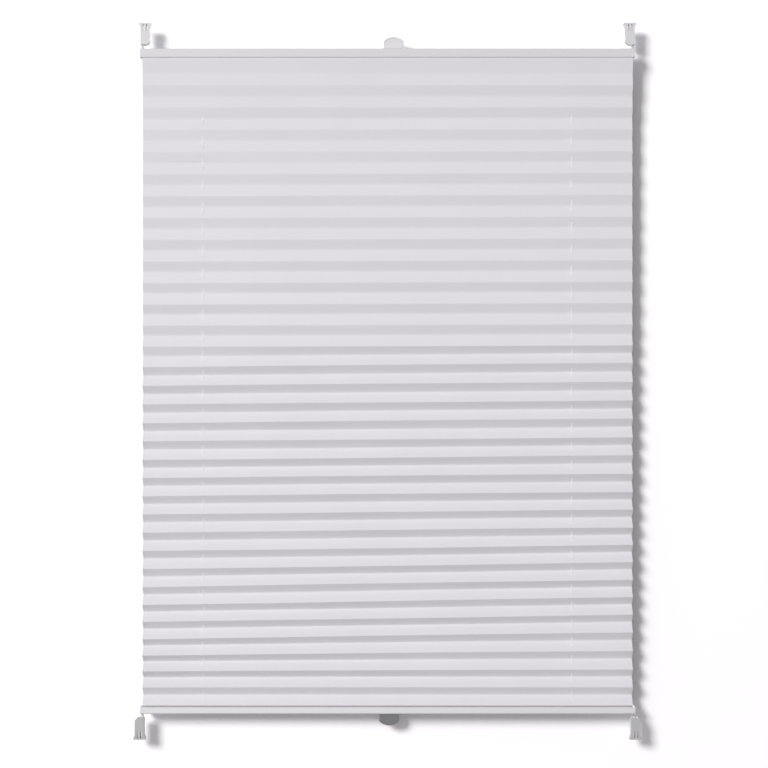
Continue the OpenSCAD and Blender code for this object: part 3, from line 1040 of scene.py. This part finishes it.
@dataclass
class TensionCord:
    """One taut cord, from an upper shoe through both rails and the cloth to a lower shoe."""

    UV = "braid"

    name: str
    turned: bool
    fabric: PleatedFabric
    diameter: float = 0.0012
    end_x: float = 0.4495
    lane: float = 0.0025
    bend_r: float = 0.002
    top_level: float = -0.05885
    bottom_level: float = -1.2583
    upper_end: float = -0.0212
    lower_end: float = -1.30195
    joint_depth: float = 0.0004
    sides: int = 12
    bend_steps: int = 8
    end_parts: int = 12
    drop_parts: int = 24
    smooth_below: float = 50.0

    def place(self, x: float, y: float, z: float) -> Vector:
        """Gives a point of the route, turned about Z for the cord from the right."""
        return Vector((-x, -y, z)) if self.turned else Vector((x, y, z))

    def bend(self, x: float, y: float, z: float, start: float, end: float) -> list[Vector]:
        """Draws a quarter bend in the XZ plane.

        Args:
            x: Centre along X.
            y: Place along Y.
            z: Centre along Z.
            start: First angle in degrees.
            end: Last angle in degrees.

        Returns:
            The points of the bend.
        """
        angles = [radians(start + (end - start) * i / self.bend_steps) for i in range(self.bend_steps + 1)]
        return [self.place(x + self.bend_r * cos(a), y, z + self.bend_r * sin(a)) for a in angles]

    def tube(self, name: str, path: list[Vector]) -> bpy.types.Object:
        """Makes a round closed cord along a path.

        Args:
            name: Name of the piece.
            path: Points of its middle line.

        Returns:
            The piece.
        """
        form = bmesh.new()
        flat = form.loops.layers.uv.new(self.UV)
        side, rings, run = Vector((0, 1, 0)), [], [0.0]
        turns = [2 * pi * k / self.sides for k in range(self.sides)]
        for i, p in enumerate(path):
            ahead = (path[min(i + 1, len(path) - 1)] - path[max(i - 1, 0)]).normalized()
            u = (side - ahead * side.dot(ahead)).normalized()
            w = ahead.cross(u)
            rings.append([form.verts.new(p + (u * cos(t) + w * sin(t)) * self.diameter / 2) for t in turns])
            run.append(run[-1] + (p - path[max(i - 1, 0)]).length)
        step = pi * self.diameter / self.sides
        for i in range(len(rings) - 1):
            for k in range(self.sides):
                n = (k + 1) % self.sides
                skin = form.faces.new((rings[i][k], rings[i][n], rings[i + 1][n], rings[i + 1][k]))
                for loop, (di, dk) in zip(skin.loops, ((0, 0), (0, 1), (1, 1), (1, 0))):
                    across, along = (k + dk) * step, run[i + di + 1]
                    loop[flat].uv = (across + along, across - along)
        form.faces.new(rings[0])
        form.faces.new(list(reversed(rings[-1])))
        bmesh.ops.recalc_face_normals(form, faces=form.faces)
        mesh = to_mesh(form, name)
        smooth(mesh, self.smooth_below)
        piece = link(name, mesh)
        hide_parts(self.name)
        return piece

    @staticmethod
    def straight(start: Vector, end: Vector, parts: int) -> list[Vector]:
        """Divides a straight line into equal parts."""
        return [start.lerp(end, i / parts) for i in range(parts + 1)]

    def ends(self) -> list[bpy.types.Object]:
        """Builds the two lengths between the shoes and the rails.

        Returns:
            The upper and the lower length.
        """
        made = []
        for part, shoe, rail, body in (
            ("upper_end", self.upper_end, self.top_level + self.bend_r, Body.TOP),
            ("lower_end", self.lower_end, self.bottom_level - self.bend_r, Body.BOTTOM),
        ):
            start, end = (self.place(-self.end_x, -self.lane, level) for level in (shoe, rail))
            piece = self.tube(f"{self.name}_{part}", self.straight(start, end, self.end_parts))
            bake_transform(piece)
            made.append(piece)
        return made

    def runs(self) -> list[bpy.types.Object]:
        """Builds the two lengths inside the rails.

        Returns:
            The length in the top rail and the one in the bottom rail.
        """
        r, hole = self.bend_r, self.fabric.hole_x
        made = []
        for part, level, out, lip, body in (
            ("top_run", self.top_level, 1.0, self.fabric.top_lip + self.joint_depth, Body.TOP),
            ("bottom_run", self.bottom_level, -1.0, self.fabric.bottom_lip - self.joint_depth, Body.BOTTOM),
        ):
            path = self.bend(-self.end_x + r, -self.lane, level + out * r, 180.0, 180.0 + out * 90.0)
            path += self.bend(hole - r, 0.0, level - out * r, out * 90.0, 0.0)
            path.append(self.place(hole, 0.0, lip))
            piece = self.tube(f"{self.name}_{part}", path)
            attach(piece, body.value)
            made.append(piece)
        return made

    def drops(self) -> list[bpy.types.Object]:
        """Builds the two lengths in the cloth.

        Returns:
            The upper and the lower length.
        """
        made = []
        anchor = self.fabric.split_level
        for part, lip, slide in (
            ("upper_drop", self.fabric.top_lip + self.joint_depth, Slide.TOP),
            ("lower_drop", self.fabric.bottom_lip - self.joint_depth, Slide.BOTTOM),
        ):
            start, end = (self.place(self.fabric.hole_x, 0.0, level) for level in (lip, anchor))
            piece = self.tube(f"{self.name}_{part}", self.straight(start, end, self.drop_parts))
            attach(piece, Body.FIXED.value)
            slide.keep(lip, anchor)
            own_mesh(piece)
            piece.visible_shadow = False
            made.append(piece)
        return made

    def build(self) -> list[bpy.types.Object]:
        """Builds all lengths of the cord."""
        return self.ends() + self.runs() + self.drops()

    def dress(self, pieces: list[bpy.types.Object], palette: Palette) -> None:
        """Gives all lengths the cord's finish."""
        for piece in pieces:
            palette.dress(piece, Slot.CORD)


@dataclass
class Studio:
    """Camera, light, white wall and pale floor.

    Each stage surface has two greys: one for the light that it throws back on the blind, and one for
    the rays that show it as the background.
    """

    eye: Point = (-0.0066, -2.9353, -0.6617)
    lens: float = 75.0
    sensor: float = 36.0
    wall_y: float = 0.030
    wall_top: float = 3.0
    floor_z: float = -1.62
    reach: float = 5.0
    aim: Point = (0.0, 0.0, -0.65)
    key_at: Point = (-8.0, -10.0, 5.0)
    key_size: float = 4.2
    key_power: float = 1155.0
    fill_at: Point = (-2.3, -12.0, -3.0)
    fill_size: float = 5.0
    fill_power: float = 460.0
    back_at: Point = (0.8, 2.6, 0.3)
    back_size: float = 1.8
    back_power: float = 40.0
    shaded: tuple[str, ...] = ("bottom_handle",)
    unfilled: tuple[str, ...] = ("lower_left_shoe", "lower_right_shoe")
    ambient: float = 0.26
    ambient_to_left: float = 0.6
    ambient_to_top: float = 0.35
    stage_tint: Colour = (1.0, 0.98, 1.01)
    wall_greys: tuple[float, float] = (0.95, 1.62)
    floor_greys: tuple[float, float] = (0.82, 1.3)

    def camera(self) -> None:
        """Puts the camera at the photograph's viewing angle."""
        data = bpy.data.cameras.new("camera")
        data.lens = self.lens
        data.sensor_width = self.sensor
        camera = link("camera", data)
        camera.location = self.eye
        camera.rotation_euler = (radians(90), 0, 0)
        bpy.context.scene.camera = camera

    def lamp(self, name: str, at: Point, size: float, power: float) -> bpy.types.Object:
        """Adds a square soft light that faces the blind.

        Args:
            name: Name of the light.
            at: Its place.
            size: Its side.
            power: Its power in watts.

        Returns:
            The light.
        """
        data = bpy.data.lights.new(name, "AREA")
        data.shape = "SQUARE"
        data.size = size
        data.energy = power
        lamp = link(name, data)
        lamp.location = at
        lamp.rotation_euler = (Vector(self.aim) - Vector(at)).to_track_quat("-Z", "Y").to_euler()
        return lamp

    def lights(self, pieces: Sequence[bpy.types.Object]) -> None:
        """Adds the key from the upper left, a light for the back and a low one for the pleats' undersides.

        The low light leaves the wall's shadow and the shoes below the blind alone. In the photograph
        the bottom handle lies in shade, so the key and the low light both leave it alone.

        Args:
            pieces: All pieces of the blind.
        """
        key = self.lamp("key", self.key_at, self.key_size, self.key_power)
        self.lamp("back", self.back_at, self.back_size, self.back_power)
        fill = self.lamp("fill", self.fill_at, self.fill_size, self.fill_power)
        filled = bpy.data.collections.new("filled")
        shaded = bpy.data.collections.new("shaded")
        for piece in pieces:
            if piece.name.startswith(self.shaded):
                shaded.objects.link(piece)
            elif not piece.name.startswith(self.unfilled):
                filled.objects.link(piece)
        for state in shaded.collection_objects:
            state.light_linking.link_state = "EXCLUDE"
        key.light_linking.receiver_collection = shaded
        fill.light_linking.receiver_collection = filled

    @staticmethod
    def seen(wires: NodeWires) -> bpy.types.NodeSocket:
        """Adds a mask of the rays that show the background: of the camera, of mirrors and of glass.

        Args:
            wires: Wires of a material or of the world.

        Returns:
            The mask.
        """
        path = wires.add("ShaderNodeLightPath")
        direct = wires.math("MAXIMUM", path.outputs["Is Camera Ray"], path.outputs["Is Transmission Ray"])
        return wires.math("MAXIMUM", direct, path.outputs["Is Glossy Ray"])

    def world(self) -> None:
        """Gives soft light all round, most from the upper left, with a white backdrop for the camera."""
        world = bpy.data.worlds.new("studio")
        world.use_nodes = True
        bpy.context.scene.world = world
        wires = NodeWires(world.node_tree)
        ground = world.node_tree.nodes["Background"]
        ground.inputs["Color"].default_value = (1.0, 1.0, 1.0, 1.0)
        parts = wires.add("ShaderNodeSeparateXYZ")
        wires.feed(parts.inputs[0], wires.where("Generated"))
        to_left, to_top = -self.ambient_to_left * self.ambient, self.ambient_to_top * self.ambient
        side = wires.math("MULTIPLY_ADD", parts.outputs["X"], to_left, self.ambient)
        soft = wires.math("MULTIPLY_ADD", parts.outputs["Z"], to_top, side)
        wires.feed(ground.inputs["Strength"], wires.math("MAXIMUM", self.seen(wires), soft))

    def plain(self, name: str, greys: tuple[float, float], one_sided: bool) -> bpy.types.Material:
        """Makes the matt white or grey material of a stage surface.

        Args:
            name: Name of the material.
            greys: Its grey for the light on the blind, and the one for the background.
            one_sided: True if it isn't seen from behind and lets rays pass that come from the blind.

        Returns:
            The material.
        """
        material = bpy.data.materials.new(name)
        material.use_nodes = True
        tree = material.node_tree
        tree.nodes.remove(tree.nodes["Principled BSDF"])
        wires = NodeWires(tree)
        thrown, shown = greys
        matt = wires.add("ShaderNodeBsdfDiffuse")
        tint = wires.add("ShaderNodeVectorMath", operation="SCALE")
        tint.inputs[0].default_value = self.stage_tint
        grey = wires.math("MULTIPLY_ADD", self.seen(wires), shown - thrown, thrown)
        wires.feed(tint.inputs["Scale"], grey)
        wires.feed(matt.inputs["Color"], tint.outputs[0])
        surface = matt.outputs[0]
        if one_sided:
            mix = wires.add("ShaderNodeMixShader")
            behind = wires.add("ShaderNodeNewGeometry").outputs["Backfacing"]
            depth = wires.add("ShaderNodeLightPath").outputs["Ray Depth"]
            # Rays that come from the blind are one bounce away from the camera.
            from_blind = wires.math("COMPARE", depth, 1.0, 0.1)
            wires.feed(mix.inputs[0], wires.math("MAXIMUM", behind, from_blind))
            wires.feed(mix.inputs[1], surface)
            wires.feed(mix.inputs[2], wires.add("ShaderNodeBsdfTransparent").outputs[0])
            surface = mix.outputs[0]
        wires.feed(tree.nodes["Material Output"].inputs["Surface"], surface)
        return material

    @staticmethod
    def panel(name: str, points: Sequence[Point], material: bpy.types.Material) -> bpy.types.Object:
        """Makes a flat stage surface.

        Args:
            name: Name of the surface.
            points: Its corners in order.
            material: Its material.

        Returns:
            The surface.
        """
        mesh = bpy.data.meshes.new(name)
        mesh.from_pydata(points, [], [tuple(range(len(points)))])
        mesh.materials.append(material)
        panel = link(name, mesh)
        return panel

    def build(self) -> None:
        """Builds the studio apart from its lamps, which need the pieces that they light."""
        self.camera()
        self.world()
        w, low, high, y = self.reach, self.floor_z, self.wall_top, self.wall_y
        self.panel("wall", [(-w, y, low), (w, y, low), (w, y, high), (-w, y, high)],
                   self.plain("white_wall", self.wall_greys, True))
        floor = self.panel("floor", [(-w, -w, low), (w, -w, low), (w, w, low), (-w, w, low)],
                           self.plain("pale_floor", self.floor_greys, False))
        floor.visible_diffuse = False
        floor.visible_glossy = False
        floor.visible_shadow = False


def main() -> None:
    """Builds and dresses the blind, piece by piece."""
    logging.basicConfig(level=logging.INFO, format="%(name)s: %(message)s")
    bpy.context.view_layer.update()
    bpy.context.scene.view_settings.view_transform = "Standard"
    studio = Studio()
    studio.build()
    palette = Palette(Effects())

    fabric = PleatedFabric()
    pieces = fabric.build()
    fabric.dress(pieces, palette)
    for piece in pieces:
        LOG.info("%s: %d faces", piece.name, len(piece.data.polygons))

    for name, turned in (("left_cord", False), ("right_cord", True)):
        cord = TensionCord(name, turned, fabric)
        lengths = cord.build()
        cord.dress(lengths, palette)
        pieces += lengths
        LOG.info("%s: %d lengths", name, len(lengths))

    for group in (ShoeSet(), RailSet("top", Body.TOP), RailSet("bottom", Body.BOTTOM)):
        for moulding in group.mouldings():
            piece = moulding.build()
            moulding.dress(piece, palette)
            pieces.append(piece)
            LOG.info("%s: %d faces", piece.name, len(piece.data.polygons))
        pieces += group.hardware().dress(palette)

    studio.lights(pieces)


if __name__ == "__main__":
    main()
